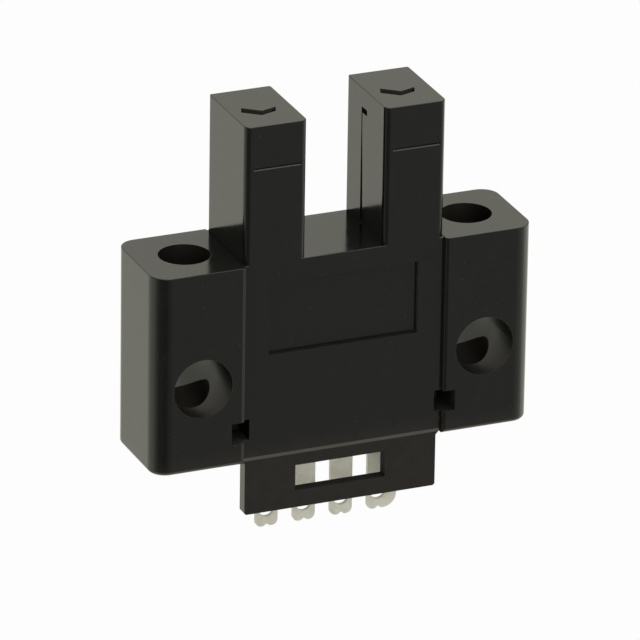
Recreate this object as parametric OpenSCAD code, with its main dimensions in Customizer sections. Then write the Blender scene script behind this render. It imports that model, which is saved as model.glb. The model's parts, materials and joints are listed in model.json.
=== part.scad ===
// Slotted optical switch: two sensing posts on a flange with crossing screw holes
// Origin: middle of the panel screw line, on the rear mounting face
// +X to the right, -Y to the front, +Z up, millimetres

/* [Mounting flange] */
// Width of each mounting wing
wing_w = 6.02; // [5.6:0.01:9]
// Thickness of the wings, front to back
wing_t = 6.75; // [6:0.05:9]
// Height of the wings
wing_h = 13.32; // [11:0.01:18]
// Radius on the outer upright edges of the wings
wing_corner_r = 1.15; // [0.4:0.05:2]
// Thickness of the rear wall that joins the wings
rear_wall_t = 0.35; // [0.3:0.05:1]
// Depth of the rear wall's top below the wing tops
rear_wall_drop = 0.1; // [0.05:0.01:0.5]
// Radius on the lower edges of the wings
foot_edge_r = 0.3; // [0.1:0.05:0.4]
// Fine radius on the upper edges
edge_r = 0.05; // [0.03:0.01:0.2]
// Width of the bevel on the front edges beside the housing
seam_bevel_w = 0.2; // [0.1:0.01:0.3]
// Depth of that bevel
seam_bevel_d = 0.06; // [0.04:0.01:0.2]

/* [Screw holes] */
// Distance from the side of the bay to the screw axes
screw_inset = 2.77; // [2.6:0.01:4]
// Diameter of the holes that run front to back
panel_hole_d = 3.9; // [3:0.05:4.2]
// Height of the front-to-back holes above the foot of the flange
panel_hole_z = 5.6; // [4.6:0.01:8]
// Diameter of the upright holes
upright_hole_d = 3.3; // [2.5:0.05:3.6]

/* [Sensor housing] */
// Clear width of the sensing slot
slot_w = 5.2; // [4:0.05:8]
// Width of each sensing post
post_w = 4.1; // [3.6:0.01:6]
// Height of the posts above the wings
post_rise = 9.14; // [7:0.02:14]
// Depth of the sensing slot below the post tops
slot_depth = 9.18; // [7:0.02:12]
// Radius on the front upright edges of the posts
post_edge_r = 0.38; // [0.15:0.01:0.6]
// Depth of the housing front behind the wing fronts
housing_setback = 0.35; // [0.05:0.01:0.5]
// Thickness of the moulded walls
wall_t = 0.9; // [0.7:0.05:1.1]
// Thickness of the wall between a post cavity and the slot
slit_wall_t = 0.7; // [0.5:0.05:0.9]
// Gap between the housing and the bay it slides into
slide_gap = 0.03; // [0.02:0.01:0.15]

/* [Front skirt] */
// Width of the skirt in front of the terminals
skirt_w = 12.96; // [12.2:0.02:13.2]
// Drop of the skirt below the flange
skirt_drop = 3.69; // [2.8:0.01:5]
// Depth of the skirt front behind the housing front
skirt_setback = 0.13; // [0.05:0.01:0.4]
// Height of the bevel on the housing above the skirt
skirt_bevel_h = 0.28; // [0.1:0.01:0.5]
// Flare at the upper corners of the skirt
skirt_flare = 0.2; // [0.1:0.01:0.21]
// Radius on the lower corners of the skirt
skirt_corner_r = 0.18; // [0.1:0.01:0.6]
// Width of the window in the skirt
skirt_window_w = 6.1; // [4:0.05:9]
// Height of the window in the skirt
skirt_window_h = 1.75; // [1:0.01:2]
// Depth of the window's upper edge below the flange
skirt_window_drop = 0.8; // [0.4:0.01:1]

/* [Front panel recess] */
// Width of the recessed panel on the front
panel_w = 10.05; // [6:0.05:11]
// Height of the recessed panel
panel_h = 4.85; // [3:0.05:5]
// Height of the panel's lower edge above the foot of the flange
panel_z = 7.06; // [5:0.01:7.6]
// Depth of the recessed panel
panel_depth = 0.3; // [0.1:0.01:0.35]

/* [Marks] */
// Depth of the optical axis below the post tops
axis_drop = 2.84; // [2.4:0.01:3.6]
// Width of the axis line across the post fronts
axis_line_w = 0.18; // [0.1:0.01:0.3]
// Distance of the axis line's left end from the side of a post
axis_line_start = 0.55; // [0.4:0.01:1]
// Distance of its right end from the side of a post
axis_line_end = 0.4; // [0.4:0.01:1]
// Reach of each arm of the chevron on a post top
chevron_reach = 1.05; // [0.6:0.05:1.3]
// Front-to-back run of the chevron's left arm
chevron_run_l = 0.85; // [0.3:0.05:1]
// Front-to-back run of the chevron's right arm
chevron_run_r = 0.35; // [0.1:0.05:0.9]
// Width of the chevron stroke, front to back
chevron_stroke = 0.68; // [0.2:0.02:0.9]
// Sideways lean of that stroke
chevron_lean = 0.28; // [0:0.02:0.5]
// Shift of the chevron's point to the left of the post's middle
chevron_shift = 0.3; // [0:0.05:0.6]
// Distance of the chevron's point from the front of the post
chevron_inset = 1.7; // [1:0.05:2.5]
// Depth of the chevron
chevron_depth = 0.3; // [0.1:0.05:0.5]

/* [Slits and windows] */
// Width of a slit in the slot-side wall of a post
slit_w = 0.85; // [0.5:0.05:1.2]
// Distance of the slit's upper end below the post top
slit_top_drop = 1.24; // [1.1:0.02:1.8]
// Depth of the window face inside the slit
slit_depth = 0.03; // [0.02:0.01:0.4]
// Height of the open end of the slit above the window rib
slit_notch = 0.4; // [0.2:0.05:0.8]
// Thickness of a window plate behind the slit
window_t = 0.4; // [0.3:0.05:0.6]
// Gap round the window rib in its slit
window_gap = 0.03; // [0.02:0.01:0.08]
// Taper of the window rib's back side, towards the slot floor
window_taper = 0.3; // [0.1:0.05:0.4]
// Distance of the optical plane from the housing back
optic_inset = 2.7; // [2.4:0.05:3.2]

/* [Snap hooks] */
// Height of the hook windows above the foot of the flange
hook_z = 1.5; // [1:0.05:1.6]
// Height of the hook windows
hook_h = 1.4; // [1:0.05:1.6]
// Width of a hook window in the wing
hook_wing_w = 0.84; // [0.6:0.01:0.9]
// Width of a hook window in the housing
hook_housing_w = 0.45; // [0.3:0.01:0.5]
// Depth of a hook behind the housing front
hook_depth = 1.8; // [1.3:0.05:2]
// Length of a hook, front to back
hook_len = 1.6; // [1:0.05:1.7]
// Height of the upright face at a hook's tip
hook_tip_h = 0.45; // [0.3:0.05:0.7]
// Reach of a hook into the wing
hook_reach = 0.5; // [0.3:0.01:0.55]
// Reach of the guide ribs into the wings
rib_reach = 0.35; // [0.2:0.01:0.4]
// Width of the guide ribs, front to back
rib_w = 0.9; // [0.6:0.05:1.1]
// Distance of the guide ribs from the housing back
rib_inset = 0.5; // [0.3:0.05:0.6]
// Distance of the upper end of a guide rib below the wing top
rib_top_drop = 2; // [1:0.1:4]

/* [Emitter and photo IC] */
// Rise of the lens domes
lens_rise = 0.5; // [0.3:0.05:0.7]
// Radius of a lens dome at its foot
lens_r = 0.9; // [0.7:0.05:1.1]
// Gap between a lens and its window
lens_gap = 0.15; // [0.1:0.01:0.25]
// Height of the emitter package
emitter_h = 3.4; // [2.4:0.05:3.6]
// Height of the photo IC package
photo_ic_h = 3.6; // [2.4:0.05:3.7]
// Gap between a package and the front and back walls
package_side_gap = 0.2; // [0.1:0.01:0.4]
// Thickness of the square leads
lead_w = 0.4; // [0.3:0.02:0.5]
// Spacing of the two emitter leads
emitter_lead_pitch = 1.27; // [1:0.01:1.6]
// Spacing of the three photo IC leads
photo_ic_lead_pitch = 0.9; // [0.8:0.01:1]
// Length of a lead below the board
lead_tail = 0.5; // [0.3:0.05:0.7]

/* [Circuit board] */
// Thickness of the circuit board
board_t = 0.8; // [0.6:0.05:1.2]
// Gap round the board and the terminal base
board_gap = 0.06; // [0.03:0.01:0.12]
// Gap round leads and terminals in the board
board_hole_gap = 0.08; // [0.04:0.01:0.15]
// Distance of the board parts from the terminal row
part_offset = 1; // [0.95:0.01:1.05]
// Length of a small chip part
chip_l = 1.6; // [1:0.1:2]
// Width of a small chip part
chip_w = 0.8; // [0.5:0.05:1]
// Height of a small chip part
chip_h = 0.55; // [0.3:0.05:0.9]
// Length of the metal caps on a chip part
chip_cap_l = 0.3; // [0.2:0.05:0.4]
// Length of the transistor body
transistor_l = 1.6; // [1.2:0.05:2]
// Width of the transistor body
transistor_w = 0.8; // [0.6:0.05:0.9]
// Height of the transistor body
transistor_h = 0.75; // [0.5:0.05:1]
// Spacing of the two front legs of the transistor
transistor_leg_pitch = 1; // [0.8:0.05:1.1]
// Span of the transistor over its legs
transistor_span = 1.55; // [1.3:0.05:1.6]

/* [Terminals] */
// Spacing of the terminals
terminal_pitch = 2.54; // [2.3:0.01:2.6]
// Width of a terminal blade
blade_w = 1.5; // [1.2:0.05:1.7]
// Extra width on the outer side of the negative terminal
blade_flare = 0.5; // [0.2:0.05:0.7]
// Thickness of the terminals
terminal_t = 0.25; // [0.2:0.01:0.4]
// Reach of the blades below the skirt
blade_reach = 2.35; // [2:0.05:6]
// Diameter of the solder eyelet
eyelet_d = 1; // [0.7:0.05:1.1]
// Distance of the eyelet centre from the blade tip
eyelet_inset = 1.15; // [1:0.05:1.6]
// Radius on the tip corners of a blade
tip_r = 0.4; // [0.2:0.02:0.5]
// Radius on the flared corner of the negative terminal
flare_r = 0.9; // [0.6:0.05:1.1]
// Width of the notch in a blade tip
notch_w = 0.44; // [0.2:0.02:0.5]
// Depth of the notch in a blade tip
notch_d = 0.16; // [0.1:0.01:0.25]
// Width of a terminal inside the base
shank_w = 1; // [0.7:0.05:1.1]
// Length of a terminal above the board
shank_tail = 0.6; // [0.3:0.05:1]
// Height of the terminal base
base_h = 4.6; // [3:0.05:6]
// Depth of the terminal base inside the housing
base_recess = 0.15; // [0.05:0.01:0.4]
// Depth of the trough under the board
trough_depth = 0.9; // [0.8:0.05:1.2]
// Gap round the lead tails in the trough
trough_gap = 0.15; // [0.1:0.01:0.2]

/* [Hidden] */
$fn = 48;
// Overrun of a cut past the face it opens
over = 1;
half = 0.5;
// Diagonal of a square, over its side
square_diagonal = sqrt(2);
terminal_count = 4;

// Widths, from the slot outwards
slot_half = slot_w * half;
housing_half = slot_half + post_w;
bay_half = housing_half + slide_gap;
flange_half = bay_half + wing_w;
screw_x = bay_half + screw_inset;
cavity_half = housing_half - wall_t;
post_cavity_x = slot_half + slit_wall_t;
// The skirt and its flare stay inside the housing
skirt_half = min(skirt_w * half, housing_half - skirt_flare);
post_mid_x = slot_half + post_w * half;
// The rim of a post stays inside its edge radius
post_rim_r = min(edge_r, post_edge_r * half);

// Depths, from the front of the wings at the lowest y to the rear face at zero
wing_front = -wing_t;
mid_y = -wing_t * half;
housing_front = wing_front + housing_setback;
housing_back = -rear_wall_t;
cavity_front = housing_front + wall_t;
cavity_back = housing_back - wall_t;
optic_y = housing_back - optic_inset;
// Shorter of the two distances from the optical plane to the cavity walls
cavity_reach = min(optic_y - cavity_front, cavity_back - optic_y);

// Heights, measured from the panel screw line
foot_z = -panel_hole_z;
wing_top = foot_z + wing_h;
post_top = wing_top + post_rise;
slot_floor = post_top - slot_depth;
axis_z = post_top - axis_drop;
slit_top = post_top - slit_top_drop;
post_cavity_top = post_top - wall_t;
cavity_top = slot_floor - wall_t;
skirt_foot = foot_z - skirt_drop;
tip_z = skirt_foot - blade_reach;
base_foot = foot_z + base_recess;
board_foot = foot_z + base_h;
board_top = board_foot + board_t;
shank_top = board_top + shank_tail;
hook_foot = foot_z + hook_z;
hook_top = hook_foot + hook_h;
rib_top = wing_top - rib_top_drop;

// Packages fill a post cavity between the window and the outer wall
package_t = cavity_half - post_cavity_x - window_t - lens_rise - lens_gap;
package_w = 2 * (cavity_reach - package_side_gap);
package_x = cavity_half - package_t;
lead_x = cavity_half - package_t * half;
window_w = package_w - 2 * package_side_gap;
lens_sphere_r = (lens_r * lens_r + lens_rise * lens_rise) / (2 * lens_rise);

// Lead places across the optical plane
emitter_leads_y = [for (side = [-half, half]) optic_y + side * emitter_lead_pitch];
photo_ic_leads_y = [for (step = [-1, 0, 1]) optic_y + step * photo_ic_lead_pitch];
lead_hole_d = lead_w * square_diagonal + 2 * board_hole_gap;
lead_reach = max(emitter_lead_pitch * half, photo_ic_lead_pitch) + lead_w * half;

// Terminal places, from left to right
terminal_x = [for (index = [0:terminal_count - 1]) (index - (terminal_count - 1) * half) * terminal_pitch];

black_pbt = [0.07, 0.07, 0.065];
black_pc = [0.08, 0.075, 0.07];
smoked_pc = [0.12, 0.03, 0.03];
base_resin = [0.1, 0.1, 0.1];
tin = [0.7, 0.7, 0.64];
clear_epoxy = [0.75, 0.78, 0.85];
dark_epoxy = [0.16, 0.12, 0.14];
board_green = [0.1, 0.35, 0.2];
red_lens = [0.85, 0.12, 0.1];
ceramic_tan = [0.72, 0.6, 0.42];
resistor_black = [0.12, 0.12, 0.13];

// Straight block between two corners
module block(low, high) {
    translate(low) cube(high - low);
}

// Outline in X and Y, raised along Z
module along_z(z0, z1) {
    translate([0, 0, z0]) linear_extrude(z1 - z0) children();
}

// Outline in X and Z, run along Y
module along_y(y0, y1) {
    translate([0, y1, 0]) rotate([90, 0, 0]) linear_extrude(y1 - y0) children();
}

// Outline in Y and Z, run along X
module along_x(x0, x1) {
    translate([x0, 0, 0]) rotate([90, 0, 90]) linear_extrude(x1 - x0) children();
}

module mirror_pair() {
    children();
    mirror([1, 0, 0]) children();
}

// Rectangle with round corners, its lower pair on their own radius or square at zero
module round_rect(low, high, r, low_r) {
    translate([low.x + r, low.y + low_r]) square([high.x - low.x - 2 * r, high.y - low.y - low_r]);
    translate([low.x, low.y + low_r]) square([high.x - low.x, high.y - low.y - r - low_r]);
    for (x = [low.x + r, high.x - r]) translate([x, high.y - r]) circle(r);
    if (low_r > 0) {
        translate([low.x + low_r, low.y]) square([high.x - low.x - 2 * low_r, low_r]);
        for (x = [low.x + low_r, high.x - low_r]) translate([x, low.y + low_r]) circle(low_r);
    }
}

// Quarter column with a rounded rim, standing at a corner of a soft block
module corner_column(r, z0, z1, rim_r, low_rim_r) {
    rotate_extrude(angle = 90) {
        translate([0, z0 + low_rim_r]) square([r - rim_r, z1 - z0 - low_rim_r]);
        translate([0, z0 + low_rim_r]) square([r, z1 - z0 - rim_r - low_rim_r]);
        if (low_rim_r > 0) translate([0, z0]) square([r - low_rim_r, low_rim_r]);
        intersection() {
            translate([0, z0]) square([r, z1 - z0]);
            union() {
                translate([r - rim_r, z1 - rim_r]) circle(rim_r);
                if (low_rim_r > 0) translate([r - low_rim_r, z0 + low_rim_r]) circle(low_rim_r);
            }
        }
    }
}

// Block with round upright edges and softened rims
module soft_block(low, high, r, rim_r, low_rim_r) {
    along_x(low.x + r, high.x - r)
        round_rect([low.y, low.z], [high.y, high.z], rim_r, low_rim_r);
    along_y(low.y + r, high.y - r)
        round_rect([low.x, low.z], [high.x, high.z], rim_r, low_rim_r);
    inner_low = [low.x + r, low.y + r];
    inner_high = [high.x - r, high.y - r];
    places = [inner_high, [inner_low.x, inner_high.y], inner_low, [inner_high.x, inner_low.y]];
    for (turn = [0:3])
        translate(places[turn]) rotate(90 * turn) corner_column(r, low.z, high.z, rim_r, low_rim_r);
}

module mounting_flange() {
    color(black_pbt) difference() {
        soft_block([-flange_half, wing_front, foot_z], [flange_half, 0, wing_top],
                   wing_corner_r, edge_r, foot_edge_r);
        bay();
        rear_wall_step();
        mirror_pair() screw_holes();
        mirror_pair() hook_window_in_wing();
        mirror_pair() rib_groove();
    }
}

// Bay between the wings, open at the front, the top and the foot, with a bevelled mouth
module bay() {
    along_z(foot_z - over, wing_top + over)
        polygon([[-bay_half, housing_back], [bay_half, housing_back],
                 [bay_half, wing_front + seam_bevel_d], [bay_half + seam_bevel_w, wing_front],
                 [bay_half + seam_bevel_w, wing_front - over],
                 [-bay_half - seam_bevel_w, wing_front - over],
                 [-bay_half - seam_bevel_w, wing_front], [-bay_half, wing_front + seam_bevel_d]]);
}

// Lower top of the rear wall, behind the posts
module rear_wall_step() {
    block([-bay_half, housing_back - over * half, wing_top - rear_wall_drop], [bay_half, over, wing_top + over]);
}

// The two holes of one wing, which cross inside it
module screw_holes() {
    translate([screw_x, over, 0]) rotate([90, 0, 0]) cylinder(d = panel_hole_d, h = wing_t + 2 * over);
    translate([screw_x, mid_y, foot_z - over]) cylinder(d = upright_hole_d, h = wing_h + 2 * over);
}

module hook_window_in_wing() {
    block([bay_half - over * half, wing_front - over, hook_foot],
          [bay_half + hook_wing_w, housing_front + hook_depth + hook_len + slide_gap, hook_top]);
}

module rib_groove() {
    block([bay_half - over * half, housing_back - rib_inset - rib_w - slide_gap, foot_z - over],
          [bay_half + rib_reach, housing_back - rib_inset + slide_gap, rib_top]);
}

module sensor_housing() {
    color(black_pc) {
        difference() {
            union() {
                difference() {
                    union() {
                        mirror_pair() sensing_post();
                        body();
                    }
                    skirt_bevel();
                }
                skirt();
            }
            housing_cavity();
            panel_recess();
            mirror_pair() {
                post_cavity();
                slit();
                hook_window_in_housing();
            }
            for (x = [-post_mid_x, post_mid_x]) translate([x, 0, 0]) post_marks();
        }
        mirror_pair() snap_hook();
        mirror_pair() guide_rib();
    }
}

// Post with round edges at the front and fainter ones at the back, where half of the round is cut off
module sensing_post() {
    round_back = housing_back + post_edge_r * half;
    difference() {
        soft_block([slot_half, housing_front, foot_z], [housing_half, round_back, post_top],
                   post_edge_r, post_rim_r, 0);
        block([slot_half - over, housing_back, foot_z - over],
              [housing_half + over, round_back + over, post_top + over]);
    }
}

// Body under the slot and the posts, square at the sides where the wings hold it
module body() {
    along_x(-housing_half, housing_half)
        round_rect([housing_front, foot_z], [housing_back, slot_floor], edge_r, 0);
}

// Bevel between the housing front and the skirt
module skirt_bevel() {
    along_x(-housing_half - over, housing_half + over)
        polygon([[housing_front - over, foot_z - over], [housing_front - over, foot_z + skirt_bevel_h],
                 [housing_front, foot_z + skirt_bevel_h], [housing_front + skirt_setback, foot_z],
                 [housing_front + skirt_setback, foot_z - over]]);
}

// Front wall carried down over the terminals, with its window
module skirt() {
    flare_half = skirt_half + skirt_flare;
    along_y(housing_front + skirt_setback, cavity_front) difference() {
        union() {
            round_rect([-skirt_half, skirt_foot], [skirt_half, foot_z + wall_t], edge_r, skirt_corner_r);
            polygon([[-flare_half, foot_z + wall_t * half], [flare_half, foot_z + wall_t * half],
                     [flare_half, foot_z], [skirt_half, foot_z - skirt_flare],
                     [-skirt_half, foot_z - skirt_flare], [-flare_half, foot_z]]);
        }
        translate([-skirt_window_w * half, foot_z - skirt_window_drop - skirt_window_h])
            square([skirt_window_w, skirt_window_h]);
    }
}

module housing_cavity() {
    block([-cavity_half, cavity_front, skirt_foot - over], [cavity_half, cavity_back, cavity_top]);
}

module post_cavity() {
    block([post_cavity_x, cavity_front, cavity_top - over], [cavity_half, cavity_back, post_cavity_top]);
}

module panel_recess() {
    along_y(housing_front - over, housing_front + panel_depth)
        translate([-panel_w * half, foot_z + panel_z]) square([panel_w, panel_h]);
}

module slit() {
    block([slot_half - over * half, optic_y - slit_w * half, slot_floor],
          [post_cavity_x + over * half, optic_y + slit_w * half, slit_top]);
}

// Marks of a post at the origin, the same way round on both posts
module post_marks() {
    chevron();
    axis_line();
}

// Arrow head cut into a post top, pointing to the front
module chevron() {
    along_z(post_top - chevron_depth, post_top + over)
        translate([-chevron_shift, housing_front + chevron_inset]) polygon([
            [0, 0], [chevron_reach, chevron_run_r],
            [chevron_reach + chevron_lean, chevron_run_r + chevron_stroke],
            [chevron_lean, chevron_stroke],
            [-chevron_reach + chevron_lean, chevron_run_l + chevron_stroke],
            [-chevron_reach, chevron_run_l]]);
}

// Vee groove across a post front at the height of the optical axis
module axis_line() {
    mouth = axis_line_w * half;
    along_x(-post_w * half + axis_line_start, post_w * half - axis_line_end)
        translate([housing_front, axis_z])
            polygon([[mouth, 0], [0, mouth], [-over, mouth], [-over, -mouth], [0, -mouth]]);
}

module hook_window_in_housing() {
    block([housing_half - hook_housing_w, housing_front - over, hook_foot],
          [housing_half + over, housing_front + hook_depth, hook_top]);
}

// Hook that slides up into the flange and catches on the foot of its window
module snap_hook() {
    root_x = housing_half - hook_housing_w * half;
    tip_x = housing_half + hook_reach;
    slope_top = hook_top - slide_gap;
    along_y(housing_front + hook_depth, housing_front + hook_depth + hook_len)
        polygon([[root_x, hook_foot], [tip_x, hook_foot], [tip_x, hook_foot + hook_tip_h],
                 [housing_half, slope_top], [root_x, slope_top]]);
}

module guide_rib() {
    block([housing_half - wall_t * half, housing_back - rib_inset - rib_w, foot_z],
          [bay_half + rib_reach - slide_gap, housing_back - rib_inset, rib_top]);
}

// Plate behind a slit, with a tapered rib that fills most of the slit
module slit_window() {
    block([post_cavity_x, optic_y - window_w * half, slot_floor],
          [post_cavity_x + window_t, optic_y + window_w * half, post_cavity_top - window_gap]);
    rib_front = optic_y - slit_w * half + window_gap;
    rib_back = optic_y + slit_w * half - window_gap;
    rib_end = slit_top - slit_notch;
    along_x(slot_half + slit_depth, post_cavity_x + window_t)
        polygon([[rib_front, slot_floor], [rib_back - window_taper, slot_floor],
                 [rib_back, rib_end], [rib_front, rib_end]]);
}

module emitter_window() {
    color(smoked_pc) mirror([1, 0, 0]) slit_window();
}

module receiver_window() {
    color(smoked_pc) slit_window();
}

// Moulded package against the outer wall of a post, its lens towards the slot
module lens_package(package_h) {
    block([package_x, optic_y - package_w * half, axis_z - package_h * half],
          [cavity_half, optic_y + package_w * half, axis_z + package_h * half]);
    intersection() {
        translate([package_x - lens_rise + lens_sphere_r, optic_y, axis_z]) sphere(lens_sphere_r);
        block([package_x - lens_rise - over, optic_y - lens_r, axis_z - lens_r],
              [package_x + package_t * half, optic_y + lens_r, axis_z + lens_r]);
    }
}

// Leads from a package down through the board
module leads(places, package_h) {
    for (y = places)
        block([lead_x - lead_w * half, y - lead_w * half, board_foot - lead_tail],
              [lead_x + lead_w * half, y + lead_w * half, axis_z - package_h * half]);
}

module emitter_led() {
    color(clear_epoxy) mirror([1, 0, 0]) lens_package(emitter_h);
}

module emitter_leads() {
    color(tin) mirror([1, 0, 0]) leads(emitter_leads_y, emitter_h);
}

module photo_ic() {
    color(dark_epoxy) lens_package(photo_ic_h);
}

module photo_ic_leads() {
    color(tin) leads(photo_ic_leads_y, photo_ic_h);
}

module circuit_board() {
    color(board_green) difference() {
        block([-cavity_half + board_gap, cavity_front + board_gap, board_foot],
              [cavity_half - board_gap, cavity_back - board_gap, board_top]);
        for (x = terminal_x) shank_slot(x, board_hole_gap, board_foot, board_top);
        for (y = emitter_leads_y) lead_hole(-lead_x, y);
        for (y = photo_ic_leads_y) lead_hole(lead_x, y);
    }
}

// Slot for a terminal shank, with a gap round it
module shank_slot(x, gap, z0, z1) {
    reach = [shank_w * half + gap, terminal_t * half + gap];
    block([x - reach.x, mid_y - reach.y, z0 - over], [x + reach.x, mid_y + reach.y, z1 + over]);
}

module lead_hole(x, y) {
    translate([x, y, board_foot - over]) cylinder(d = lead_hole_d, h = board_t + 2 * over);
}

// Place on the board behind (1) or in front of (-1) the terminal row
module on_board(x, side) {
    translate([x, mid_y + side * part_offset, board_top]) children();
}

// Chip part with a metal cap at each end
module chip(height) {
    body_l = chip_l - 2 * chip_cap_l;
    block([-body_l * half, -chip_w * half, 0], [body_l * half, chip_w * half, height]);
    mirror_pair() block([body_l * half, -chip_w * half, 0], [chip_l * half, chip_w * half, height]);
}

module indicator_led() {
    color(red_lens) on_board(0, 1) {
        chip(chip_h);
        translate([0, 0, chip_h]) rotate([90, 0, 0]) intersection() {
            cylinder(r = chip_cap_l, h = chip_w, center = true);
            translate([-chip_cap_l, 0, -chip_w]) cube([2 * chip_cap_l, chip_cap_l, 2 * chip_w]);
        }
    }
}

module led_resistor() {
    color(resistor_black) on_board(-terminal_pitch, 1) chip(chip_h);
}

module bypass_capacitor() {
    color(ceramic_tan) on_board(terminal_pitch, 1) chip(chip_w);
}

// Small moulded transistor on three bent legs
module output_transistor() {
    leg_t = chip_cap_l * half;
    color(resistor_black) on_board(0, -1) {
        block([-transistor_l * half, -transistor_w * half, leg_t],
              [transistor_l * half, transistor_w * half, leg_t + transistor_h]);
        for (side = [-half, half]) transistor_leg(side * transistor_leg_pitch, -1, leg_t);
        transistor_leg(0, 1, leg_t);
    }
}

module transistor_leg(x, side, leg_t) {
    foot_y = transistor_span * half;
    body_y = transistor_w * half;
    mirror([0, side < 0 ? 1 : 0, 0]) along_x(x - leg_t, x + leg_t)
        polygon([[body_y - leg_t, 2 * leg_t], [body_y, 2 * leg_t], [foot_y - 2 * leg_t, 0], [foot_y, 0],
                 [foot_y, leg_t], [foot_y - leg_t, leg_t], [body_y + leg_t * half, 3 * leg_t],
                 [body_y - leg_t, 3 * leg_t]]);
}

// Resin block that closes the housing and holds the terminals
module terminal_base() {
    trough_x = lead_x + lead_w * half + trough_gap;
    trough_y = lead_reach + trough_gap;
    color(base_resin) difference() {
        block([-cavity_half + board_gap, cavity_front + board_gap, base_foot],
              [cavity_half - board_gap, cavity_back - board_gap, board_foot]);
        block([-trough_x, optic_y - trough_y, board_foot - trough_depth],
              [trough_x, optic_y + trough_y, board_foot + over]);
        for (x = terminal_x) shank_slot(x, 0, base_foot, board_foot);
    }
}

// Half of a blade to the right of its centre line, with a round tip corner
module half_blade(w, r) {
    translate([0, tip_z + r]) square([w, base_foot - tip_z - r]);
    translate([0, tip_z]) square([w - r, r]);
    translate([w - r, tip_z + r]) circle(r);
}

// Flat terminal: notched blade with an eyelet below the base, narrow shank above
module terminal(index, right_extra, right_r) {
    color(tin) translate([terminal_x[index], 0, 0])
        along_y(mid_y - terminal_t * half, mid_y + terminal_t * half) {
            difference() {
                union() {
                    half_blade(blade_w * half + right_extra, right_r);
                    mirror([1, 0]) half_blade(blade_w * half, tip_r);
                }
                translate([0, tip_z + eyelet_inset]) circle(d = eyelet_d);
                translate([0, tip_z]) polygon([[-notch_w, -notch_d], [0, notch_d], [notch_w, -notch_d]]);
            }
            translate([-shank_w * half, base_foot]) square([shank_w, shank_top - base_foot]);
        }
}

module terminal_plus() {
    terminal(0, 0, tip_r);
}

module terminal_select() {
    terminal(1, 0, tip_r);
}

module terminal_output() {
    terminal(2, 0, tip_r);
}

module terminal_minus() {
    terminal(3, blade_flare, flare_r);
}

mounting_flange();
sensor_housing();
emitter_window();
receiver_window();
emitter_led();
emitter_leads();
photo_ic();
photo_ic_leads();
circuit_board();
indicator_led();
led_resistor();
bypass_capacitor();
output_transistor();
terminal_base();
terminal_plus();
terminal_select();
terminal_output();
terminal_minus();
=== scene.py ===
"""Looks of a slotted optical switch: finishes, stage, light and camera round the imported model."""
import json
import math

import bpy
from mathutils import Matrix, Vector


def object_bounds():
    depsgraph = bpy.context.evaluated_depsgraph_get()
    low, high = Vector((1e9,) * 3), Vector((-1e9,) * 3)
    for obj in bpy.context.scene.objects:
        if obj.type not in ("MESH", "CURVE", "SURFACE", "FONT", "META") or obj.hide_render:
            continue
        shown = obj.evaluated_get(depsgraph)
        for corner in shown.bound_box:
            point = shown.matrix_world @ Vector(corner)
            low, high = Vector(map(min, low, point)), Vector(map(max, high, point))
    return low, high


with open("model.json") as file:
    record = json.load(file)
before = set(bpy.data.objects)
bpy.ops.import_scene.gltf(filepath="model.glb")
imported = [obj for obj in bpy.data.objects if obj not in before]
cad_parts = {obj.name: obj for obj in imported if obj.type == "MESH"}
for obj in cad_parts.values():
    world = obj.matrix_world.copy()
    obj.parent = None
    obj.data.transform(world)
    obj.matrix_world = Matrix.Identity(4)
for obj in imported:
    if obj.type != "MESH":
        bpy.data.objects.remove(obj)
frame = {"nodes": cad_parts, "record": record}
cad_low, cad_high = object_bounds()

MM = 0.001

# Camera, fitted to the photograph in its 640 pixel frame
PHOTO_SIDE_PX = 640
FOCAL_PX = 7963.84
SENSOR_MM = 36
CAMERA_AZIMUTH = math.radians(22.996)
CAMERA_ELEVATION = math.radians(23.3)
CAMERA_ROLL = math.radians(0.894)
CAMERA_DISTANCE = 498.335 * MM
CAMERA_TARGET = Vector((0, -3.1, 2.43)) * MM
CAMERA_SLIDE_RIGHT = -0.178 * MM
CAMERA_SLIDE_UP = -0.63 * MM
# Nearest and farthest things that the camera shows, in camera distances
CLIP_NEAR = 0.1
CLIP_FAR = 10

# Stage: a white bowl well clear of the part, in metres
STAGE_WHITE = 0.982
STAGE_RADIUS = 0.9
STAGE_FLOOR_DROP = 0.7
STAGE_COVE = 0.25
STAGE_WALL = 3.0
STAGE_STEPS = 64
COVE_STEPS = 12

# Studio light, painted on the world by direction
WARM = (1.0, 1.0, 0.87)
NEUTRAL = (1.0, 1.0, 0.98)
AMBIENT = 0.015
# Share that is left of light reflected twice, chosen to match the photograph
TWICE_REFLECTED = 0.2
# A ray that meets the world after one reflection has depth 2, after two it has depth 3
ONCE_DEPTH = 2.5
# The white floor is lit unevenly: degrees round the part from its right side, and strength
FULL_CIRCLE = 360
FLOOR_RING = [
    (0, 1.28), (20, 1.1), (45, 1.05), (75, 0.95), (115, 0.88),
    (143, 0.86), (172, 0.82), (193, 0.36), (212, 0.11), (255, 0.045),
    (275, 0.17), (293, 0.275), (313, 0.44), (333, 0.68), (353, 1.3),
]
# Degrees between which the floor's light is neutral
FRONT_ARC = (230, 325)
# Strength that the top of the colour ramp stands for
FLOOR_SCALE = 1.5
FLOOR_BELOW = 0.95
# Heights of a direction where the floor starts and is full, and where it becomes the floor below
HORIZON = (0.06, -0.06)
NADIR = (-0.5, -0.8)
# White backdrop: how far back a direction points where it starts and is full, and how high it ends
BACKDROP = 0.85
BACKDROP_REACH = (0.5, 0.75)
BACKDROP_TOP = (0.75, 0.6)
# Lamps: direction, angle of full strength, angle where it ends, strength, tint
LAMPS = [
    # Key overhead
    ((0.36, 0.1, 0.93), 12, 42, 3.0, WARM),
    # Fills at the left, in front and at the right
    ((-0.9, -0.2, 0.42), 20, 40, 0.5, WARM),
    ((0.0, -0.9, 0.42), 20, 40, 1.4, NEUTRAL),
    ((0.9, -0.2, 0.42), 20, 40, 0.5, WARM),
]

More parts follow.
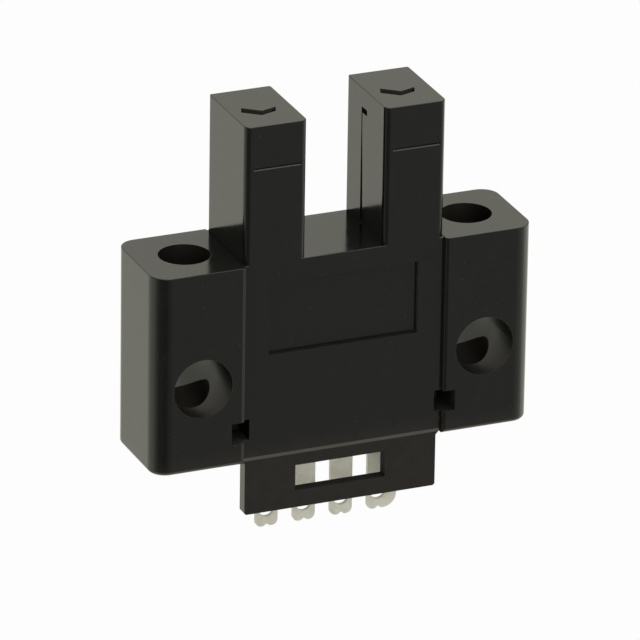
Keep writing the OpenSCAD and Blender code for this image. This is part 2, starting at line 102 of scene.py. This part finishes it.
# Noises are given as cells per millimetre, detail and roughness.
# Spans are given as low and high, and what they are carried to.
# Edges are given as radius in millimetres, and how far the normals agree where wear is full and where
# it ends.

# Black moulding
MOULD_TONES = ((0.009, 0.009, 0.0083, 1), (0.012, 0.012, 0.0112, 1))
MOULD_IOR = 1.5
MOULD_GRAIN = (16, 3, 0.6)
MOULD_FLOW = (0.35, 1, 0.5)
GRAIN_SHARE = 0.12
MOULD_RELIEF_MM = 0.006
HAZE = (1.3, 5, 0.6)
HAZE_GLOSS = (0.3, 0.7, 0.1, 0.17)
# Edge wear and painted highlights: a paler tone on the edges in rubbed patches, for wear and for glints
# along the rims
WEAR_AND_HIGHLIGHT = (0.06, 0.059, 0.055, 1)
WEAR_AND_HIGHLIGHT_EDGES = (0.03, 0.72, 0.98)
RUBBED_AND_GLINTS = (2.5, 3, 0.5)
RUBBED_AND_GLINT_SPAN = (0.4, 0.62, 0.2, 1)
SPECK = (0.06, 0.058, 0.052, 1)
SPECK_NOISE = (7, 1, 0.5)
SPECK_SPAN = (0.76, 0.8, 0, 1)
# Dust and painted light in crevices: a paler tone where ambient occlusion is low, for dust and for light
# reaching into creases
DUST_AND_CREVICE_LIGHT = (0.1, 0.088, 0.07, 1)
DUST_AND_CREVICE_LIGHT_SPAN = (0.42, 0.12, 0, 1)
CREVICE_MM = 0.8
CREVICE_SAMPLES = 8
EDGE_SAMPLES = 6
# The skirt's tone, the heights between which it fades in, and its mottle
SKIRT_TONE = (0.021, 0.0172, 0.0135, 1)
SKIRT_FADE = (-4.2, -5.5)
SKIRT_MOTTLE = (0.25, 0.6, 0.6, 1)
# Screw holes: tone, which is painted light scattered into them, margin, roughness at the front and the back,
# and the depths between which it changes
HOLE_LIGHT_TONE = (0.015, 0.012, 0.009, 1)
HOLE_EDGE = 0.02
HOLE_ROUGHNESS = (0.38, 0.45)
CROSSING_Y = (-4.2, -3.2)
# Tones of places that differ from the rest, by boxes round them in millimetres that are mirrored in X.
# Several are painted light or painted shade, as noted at each.
PLACES = [
    # Painted light: the side wall of the front recess is much paler, standing in for light on it
    ("front recess side", (5.0, -6.39, 1.45), (5.05, -6.11, 6.33), (0.07, 0.066, 0.06, 1)),
    # Painted light: the ledge of the front recess is paler, lightening its shade
    ("front recess ledge", (-0.1, -6.39, 1.44), (5.03, -6.11, 1.48), (0.02, 0.019, 0.018, 1)),
    # Painted light: the seam between wing and housing is paler, lightening the shade in it
    ("seam", (6.69, -6.745, -5.58), (6.76, -6.3, 7.7), (0.028, 0.026, 0.023, 1)),
    ("hook window", (6.255, -6.74, -4.12), (7.6, -4.0, -2.68), (0.013, 0.012, 0.011, 1)),
    ("skirt bevel", (-0.1, -6.395, -5.62), (6.75, -6.265, -5.3), (0.012, 0.01, 0.008, 1)),
    # Painted light: the chevron grooves are paler, standing in for light on their walls
    ("chevron", (3.1, -6.1, 16.1), (6.4, -0.7, 16.845), (0.05, 0.049, 0.045, 1)),
    # Painted shade: the skirt window's walls and sill are darker
    ("skirt window", (-0.1, -6.262, -8.17), (3.07, -5.49, -6.38), (0.006, 0.006, 0.006, 1)),
]
DULL_PLACES = ("skirt window", "hook window")
DULL_ROUGHNESS = 0.8
# Where the noises start, so that the two mouldings differ
FLANGE_SHIFT = (0, 0, 0)
HOUSING_SHIFT = (7, 3, 5)

# Tin plate
TIN_TONES = ((0.84, 0.825, 0.715, 1), (0.97, 0.955, 0.84, 1))
TIN_METALLIC = 0.1
TIN_STRETCH = (30, 30, 1.2)
TIN_LINES = (1, 3, 0.6)
TIN_LINES_GLOSS = (0.25, 0.75, 0.35, 0.55)
TIN_RELIEF_MM = 0.006
TIN_BLOTCH = (1.6, 4, 0.6)
TIN_BLOTCH_SPAN = (0.3, 0.7, 0, 1)
# Tin is darker at its edges
TIN_EDGE_TONE = (0.64, 0.62, 0.54, 1)
TIN_EDGES = (0.04, 0.7, 0.98)

# Resins
RESIN_MOTTLE = (3, 4, 0.6)
RESIN_MOTTLE_RANGE = (0.3, 0.7)
RESIN_GLOSS_SPREAD = (0.8, 1.2)
RESIN_GRAIN = (22, 2, 0.5)
RESIN_RELIEF_MM = 0.002


class Graph:
    """A node tree, of a new material or one that is given, with short spellings for its nodes."""

    def __init__(self, name="", tree=None):
        if tree is None:
            self.material = bpy.data.materials.new(name)
            self.material.use_nodes = True
            tree = self.material.node_tree
        self.tree = tree
        self.tree.nodes.clear()

    def put(self, value, socket):
        """Links the value to the socket if it is a socket itself, and otherwise sets it as a constant."""
        if isinstance(value, bpy.types.NodeSocket):
            self.tree.links.new(value, socket)
        else:
            socket.default_value = value

    def node(self, kind, sockets=None, **settings):
        """A node of that kind, with its sockets by name."""
        made = self.tree.nodes.new(kind)
        for name, value in settings.items():
            setattr(made, name, value)
        for name, value in (sockets or {}).items():
            self.put(value, made.inputs[name])
        return made

    def points(self, scale=(1, 1, 1), shift=(0, 0, 0)):
        """Places on the part in millimetres, stretched and shifted."""
        place = self.node("ShaderNodeTexCoord").outputs["Object"]
        per_metre = [s / MM for s in scale]
        mapping = self.node("ShaderNodeMapping", {"Vector": place, "Scale": per_metre, "Location": shift})
        return mapping.outputs["Vector"]

    def split(self, vector):
        """The X, Y and Z of a vector."""
        return self.node("ShaderNodeSeparateXYZ", {"Vector": vector}).outputs

    def noise(self, points, per_mm, detail, rough):
        made = self.node("ShaderNodeTexNoise", {
            "Vector": points, "Scale": per_mm, "Detail": detail, "Roughness": rough})
        return made.outputs["Fac"]

    def span(self, value, low, high, to_low, to_high):
        """Value between low and high, carried smoothly to another range."""
        made = self.node("ShaderNodeMapRange", {
            "Value": value, "From Min": low, "From Max": high, "To Min": to_low, "To Max": to_high},
            interpolation_type="SMOOTHSTEP")
        return made.outputs["Result"]

    def math(self, operation, first, second=0.0):
        made = self.node("ShaderNodeMath", operation=operation)
        self.put(first, made.inputs[0])
        self.put(second, made.inputs[1])
        return made.outputs["Value"]

    def scaled(self, colour, strength):
        """Colour times a strength."""
        made = self.node("ShaderNodeVectorMath", {"Vector": colour, "Scale": strength}, operation="SCALE")
        return made.outputs["Vector"]

    def total(self, first, second):
        """Sum of two colours."""
        made = self.node("ShaderNodeVectorMath", operation="ADD")
        self.put(first, made.inputs[0])
        self.put(second, made.inputs[1])
        return made.outputs["Vector"]

    def along(self, first, second):
        """How far two directions agree."""
        made = self.node("ShaderNodeVectorMath", operation="DOT_PRODUCT")
        self.put(first, made.inputs[0])
        self.put(second, made.inputs[1])
        return made.outputs["Value"]

    def blend(self, factor, first, second):
        """Colour that goes from the first to the second with the factor."""
        made = self.node("ShaderNodeMix", data_type="RGBA")
        sockets = {socket.identifier: socket for socket in made.inputs}
        self.put(factor, sockets["Factor_Float"])
        self.put(first, sockets["A_Color"])
        self.put(second, sockets["B_Color"])
        return next(socket for socket in made.outputs if socket.identifier == "Result_Color")

    def edges(self, radius_mm, low, high):
        """Mask of the part's edges."""
        bevel = self.node("ShaderNodeBevel", {"Radius": radius_mm * MM}, samples=EDGE_SAMPLES)
        face_normal = self.node("ShaderNodeNewGeometry").outputs["Normal"]
        return self.span(self.along(bevel.outputs["Normal"], face_normal), high, low, 0, 1)

    def bump(self, height, depth_mm):
        made = self.node("ShaderNodeBump", {"Height": height, "Distance": depth_mm * MM, "Strength": 1.0})
        return made.outputs["Normal"]

    def finish(self, **sockets):
        """The surface shader, with its sockets given by their names with underscores."""
        named = {name.replace("_", " "): value for name, value in sockets.items()}
        shader = self.node("ShaderNodeBsdfPrincipled", named)
        self.node("ShaderNodeOutputMaterial", {"Surface": shader.outputs["BSDF"]})
        return self.material


def hole_walls(g, place):
    """Mask of the walls of the screw holes, from the mounts in the record."""
    inside = 0.0
    for mount in frame["record"]["mounts"]:
        if mount["kind"] != "bolt_pattern":
            continue
        along_y = mount["axis"][1] != 0
        aside = g.math("SUBTRACT", g.math("ABSOLUTE", place["X"]), mount["dims"]["spacing_x_mm"] / 2)
        other = place["Z"] if along_y else g.math("SUBTRACT", place["Y"], mount["pos_m"][1] / MM)
        squares = g.math("ADD", g.math("POWER", aside, 2.0), g.math("POWER", other, 2.0))
        reach = mount["dims"]["hole_r_mm"] + HOLE_EDGE
        inside = g.math("MAXIMUM", inside, g.math("LESS_THAN", g.math("SQRT", squares), reach))
    return inside


def in_box(g, place, low, high):
    """Mask of what lies in a box given by two corners, and in its mirror image in X."""
    mirrored = (g.math("ABSOLUTE", place["X"]), place["Y"], place["Z"])
    within = 1.0
    for along, least, most in zip(mirrored, low, high):
        away = g.math("ABSOLUTE", g.math("SUBTRACT", along, (least + most) / 2))
        within = g.math("MULTIPLY", within, g.math("LESS_THAN", away, (most - least) / 2))
    return within


def moulded_black(name, shift):
    """Glossy black moulding: mould grain, uneven gloss, dull hole walls with painted light, dust and painted
    light in crevices, worn edges with painted highlights, and painted light and shade in set places.
    """
    g = Graph(name)
    place = g.split(g.points())
    points = g.points(shift=shift)
    haze = g.noise(points, *HAZE)
    holes = hole_walls(g, place)

    on_skirt = g.math("MULTIPLY", g.span(place["Z"], *SKIRT_FADE, 0, 1), g.span(haze, *SKIRT_MOTTLE))
    specks = g.span(g.noise(points, *SPECK_NOISE), *SPECK_SPAN)
    # Crevices are painted paler by ambient occlusion: dust and painted light in creases and seams
    openness = g.node("ShaderNodeAmbientOcclusion", {"Distance": CREVICE_MM * MM}, samples=CREVICE_SAMPLES)
    dust_and_crevice_light = g.span(openness.outputs["AO"], *DUST_AND_CREVICE_LIGHT_SPAN)
    colour = g.blend(haze, *MOULD_TONES)
    colour = g.blend(on_skirt, colour, SKIRT_TONE)
    colour = g.blend(specks, colour, SPECK)
    colour = g.blend(dust_and_crevice_light, colour, DUST_AND_CREVICE_LIGHT)
    # Screw hole walls get a paler, browner tone: painted light scattered into the holes
    colour = g.blend(holes, colour, HOLE_LIGHT_TONE)

    hole_gloss = g.math("MULTIPLY", holes, g.span(place["Y"], *CROSSING_Y, *HOLE_ROUGHNESS))
    gloss = g.math("MAXIMUM", g.span(haze, *HAZE_GLOSS), hole_gloss)
    # Set places get their own tones, several of them painted light or painted shade
    for title, low, high, tone in PLACES:
        within = in_box(g, place, low, high)
        colour = g.blend(within, colour, tone)
        if title in DULL_PLACES:
            gloss = g.math("MAXIMUM", gloss, g.math("MULTIPLY", within, DULL_ROUGHNESS))

    # Paler edges in patches: wear and painted highlights along the rims
    rubbed_and_glints = g.span(g.noise(points, *RUBBED_AND_GLINTS), *RUBBED_AND_GLINT_SPAN)
    colour = g.blend(g.math("MULTIPLY", g.edges(*WEAR_AND_HIGHLIGHT_EDGES), rubbed_and_glints), colour, WEAR_AND_HIGHLIGHT)
    grain = g.math("MULTIPLY", g.noise(points, *MOULD_GRAIN), GRAIN_SHARE)
    relief = g.bump(g.math("ADD", grain, g.noise(points, *MOULD_FLOW)), MOULD_RELIEF_MM)
    return g.finish(Base_Color=colour, Roughness=gloss, IOR=MOULD_IOR, Normal=relief)


def tinned(name):
    """Dull tin plate with rolling lines, blotches and darker edges."""
    g = Graph(name)
    lines = g.noise(g.points(scale=TIN_STRETCH), *TIN_LINES)
    blotch = g.span(g.noise(g.points(), *TIN_BLOTCH), *TIN_BLOTCH_SPAN)
    plate = g.blend(blotch, *TIN_TONES)
    colour = g.blend(g.edges(*TIN_EDGES), plate, TIN_EDGE_TONE)
    gloss = g.span(lines, *TIN_LINES_GLOSS)
    relief = g.bump(lines, TIN_RELIEF_MM)
    return g.finish(Base_Color=colour, Metallic=TIN_METALLIC, Roughness=gloss, Normal=relief)


def plain_resin(name, dark, light, roughness, **more):
    """Moulded or cast resin with a soft mottle, for the pieces inside."""
    g = Graph(name)
    mottle = g.noise(g.points(), *RESIN_MOTTLE)
    colour = g.blend(mottle, (*dark, 1), (*light, 1))
    spread = [roughness * share for share in RESIN_GLOSS_SPREAD]
    gloss = g.span(mottle, *RESIN_MOTTLE_RANGE, *spread)
    relief = g.bump(g.noise(g.points(), *RESIN_GRAIN), RESIN_RELIEF_MM)
    return g.finish(Base_Color=colour, Roughness=gloss, Normal=relief, **more)


FINISHES = {
    "black_pbt": moulded_black("black_pbt", FLANGE_SHIFT),
    "black_pc": moulded_black("black_pc", HOUSING_SHIFT),
    "smoked_window": plain_resin("smoked_window", (0.008, 0.004, 0.004), (0.012, 0.006, 0.006), 0.08),
    "clear_epoxy": plain_resin("clear_epoxy", (0.8, 0.83, 0.9), (0.88, 0.9, 0.95), 0.06,
                               Transmission_Weight=0.9, IOR=1.54),
    "dark_epoxy": plain_resin("dark_epoxy", (0.02, 0.012, 0.016), (0.035, 0.02, 0.026), 0.15),
    "board": plain_resin("board", (0.012, 0.09, 0.035), (0.02, 0.14, 0.055), 0.35),
    "red_lens": plain_resin("red_lens", (0.55, 0.02, 0.015), (0.7, 0.04, 0.03), 0.1,
                            Transmission_Weight=0.5),
    "chip_black": plain_resin("chip_black", (0.012, 0.012, 0.014), (0.022, 0.022, 0.025), 0.55),
    "ceramic": plain_resin("ceramic", (0.42, 0.3, 0.17), (0.5, 0.38, 0.23), 0.5),
    "base_resin": plain_resin("base_resin", (0.008, 0.008, 0.008), (0.014, 0.014, 0.013), 0.45),
    "tin": tinned("tin"),
}


def dress_nodes():
    """Each CAD node takes the finish of its material slot in the record."""
    for row in frame["record"]["subparts"]:
        frame["nodes"][row["node"]].material_slots[0].material = FINISHES[row["material_slot"]]


def build_stage():
    """White bowl: a flat floor, a round cove and a wall, turned about the upright axis."""
    floor_z = cad_low.z - STAGE_FLOOR_DROP
    inner = STAGE_RADIUS - STAGE_COVE
    profile = [(0.0, floor_z)]
    for step in range(COVE_STEPS + 1):
        angle = math.pi / 2 * step / COVE_STEPS
        radius = inner + STAGE_COVE * math.sin(angle)
        profile.append((radius, floor_z + STAGE_COVE * (1 - math.cos(angle))))
    profile.append((STAGE_RADIUS, floor_z + STAGE_COVE + STAGE_WALL))
    points = []
    for radius, z in profile:
        for step in range(STAGE_STEPS):
            angle = math.tau * step / STAGE_STEPS
            points.append((radius * math.cos(angle), radius * math.sin(angle), z))
    faces = []
    for ring in range(len(profile) - 1):
        for step in range(STAGE_STEPS):
            near = ring * STAGE_STEPS + step
            far = ring * STAGE_STEPS + (step + 1) % STAGE_STEPS
            faces.append((near, far, far + STAGE_STEPS, near + STAGE_STEPS))
    mesh = bpy.data.meshes.new("stage_bowl")
    mesh.from_pydata(points, [], faces)
    bowl = bpy.data.objects.new("stage_bowl", mesh)
    bpy.context.scene.collection.objects.link(bowl)
    g = Graph("stage_white")
    glow = g.node("ShaderNodeEmission", {"Color": (STAGE_WHITE, STAGE_WHITE, STAGE_WHITE, 1)})
    g.node("ShaderNodeOutputMaterial", {"Surface": glow.outputs["Emission"]})
    mesh.materials.append(g.material)
    bowl.visible_glossy = False
    bowl.visible_diffuse = False
    bowl.visible_transmission = False
    bowl.visible_shadow = False


def floor_light(g, direction):
    """Light from the floor: strength by the way round the part, fading out at the horizon."""
    toward = g.split(direction)
    turn = g.math("DIVIDE", g.math("ARCTAN2", toward["Y"], toward["X"]), math.tau)
    ramp = g.node("ShaderNodeValToRGB", {"Fac": g.math("FRACT", turn)})
    ramp.color_ramp.interpolation = "EASE"
    stops = ramp.color_ramp.elements
    for degrees, strength in FLOOR_RING:
        front = FRONT_ARC[0] <= degrees <= FRONT_ARC[1]
        tint = NEUTRAL if front else WARM
        stop = stops[0] if degrees == 0 else stops.new(degrees / FULL_CIRCLE)
        stop.color = [channel * strength / FLOOR_SCALE for channel in tint] + [1]
    stops[len(stops) - 1].color = stops[0].color
    rim = g.span(toward["Z"], *HORIZON, 0, 1)
    below = g.math("MULTIPLY", rim, g.span(toward["Z"], *NADIR, 0, 1))
    aside = g.math("SUBTRACT", rim, below)
    ring = g.scaled(ramp.outputs["Color"], g.math("MULTIPLY", aside, FLOOR_SCALE))
    return g.total(ring, g.scaled(WARM, g.math("MULTIPLY", below, FLOOR_BELOW)))


def backdrop_light(g, direction):
    """Light from the backdrop, which rises from the floor behind the part."""
    toward = g.split(direction)
    across = g.span(toward["Y"], *BACKDROP_REACH, 0, BACKDROP)
    above = g.math("MULTIPLY", g.span(toward["Z"], *HORIZON, 1, 0), g.span(toward["Z"], *BACKDROP_TOP, 0, 1))
    return g.scaled(WARM, g.math("MULTIPLY", across, above))


def lamp_light(g, direction, centre, full, end, strength, tint):
    """Soft-edged round patch of light in one direction."""
    toward = g.along(direction, Vector(centre).normalized())
    edge = math.cos(math.radians(end)), math.cos(math.radians(full))
    return g.scaled(tint, g.span(toward, *edge, 0, strength))


def build_light():
    """Soft studio light on the world round the part: a lit floor, a backdrop and a few large lamps."""
    scene = bpy.context.scene
    scene.world = bpy.data.worlds.new("studio")
    scene.world.use_nodes = True
    g = Graph(tree=scene.world.node_tree)
    direction = g.node("ShaderNodeTexCoord").outputs["Generated"]
    light = g.total(floor_light(g, direction), backdrop_light(g, direction))
    light = g.total(light, g.scaled(WARM, AMBIENT))
    for lamp in LAMPS:
        light = g.total(light, lamp_light(g, direction, *lamp))
    depth = g.node("ShaderNodeLightPath").outputs["Ray Depth"]
    twice = g.math("GREATER_THAN", depth, ONCE_DEPTH)
    share = g.math("SUBTRACT", 1.0, g.math("MULTIPLY", twice, 1 - TWICE_REFLECTED))
    sky = g.node("ShaderNodeBackground", {"Color": light, "Strength": share})
    g.node("ShaderNodeOutputWorld", {"Surface": sky.outputs["Background"]})
    scene.view_settings.view_transform = "Standard"


def build_camera():
    """Camera at the photograph's view: turned left, raised and slightly rolled."""
    sin_a, cos_a = math.sin(CAMERA_AZIMUTH), math.cos(CAMERA_AZIMUTH)
    sin_e, cos_e = math.sin(CAMERA_ELEVATION), math.cos(CAMERA_ELEVATION)
    sin_r, cos_r = math.sin(CAMERA_ROLL), math.cos(CAMERA_ROLL)
    back = Vector((-sin_a * cos_e, -cos_a * cos_e, sin_e))
    right = Vector((cos_a, -sin_a, 0))
    up = Vector((sin_a * sin_e, cos_a * sin_e, cos_e))
    rolled_right = right * cos_r + up * sin_r
    rolled_up = up * cos_r - right * sin_r
    place = CAMERA_TARGET + back * CAMERA_DISTANCE + right * CAMERA_SLIDE_RIGHT + up * CAMERA_SLIDE_UP
    turn = Matrix((rolled_right, rolled_up, back)).transposed().to_4x4()
    data = bpy.data.cameras.new("photo_view")
    data.sensor_width = SENSOR_MM
    data.lens = FOCAL_PX * SENSOR_MM / PHOTO_SIDE_PX
    data.clip_start = CAMERA_DISTANCE * CLIP_NEAR
    data.clip_end = CAMERA_DISTANCE * CLIP_FAR
    camera = bpy.data.objects.new("photo_view", data)
    camera.matrix_world = Matrix.Translation(place) @ turn
    bpy.context.scene.collection.objects.link(camera)
    bpy.context.scene.camera = camera


dress_nodes()
build_stage()
build_light()
build_camera()
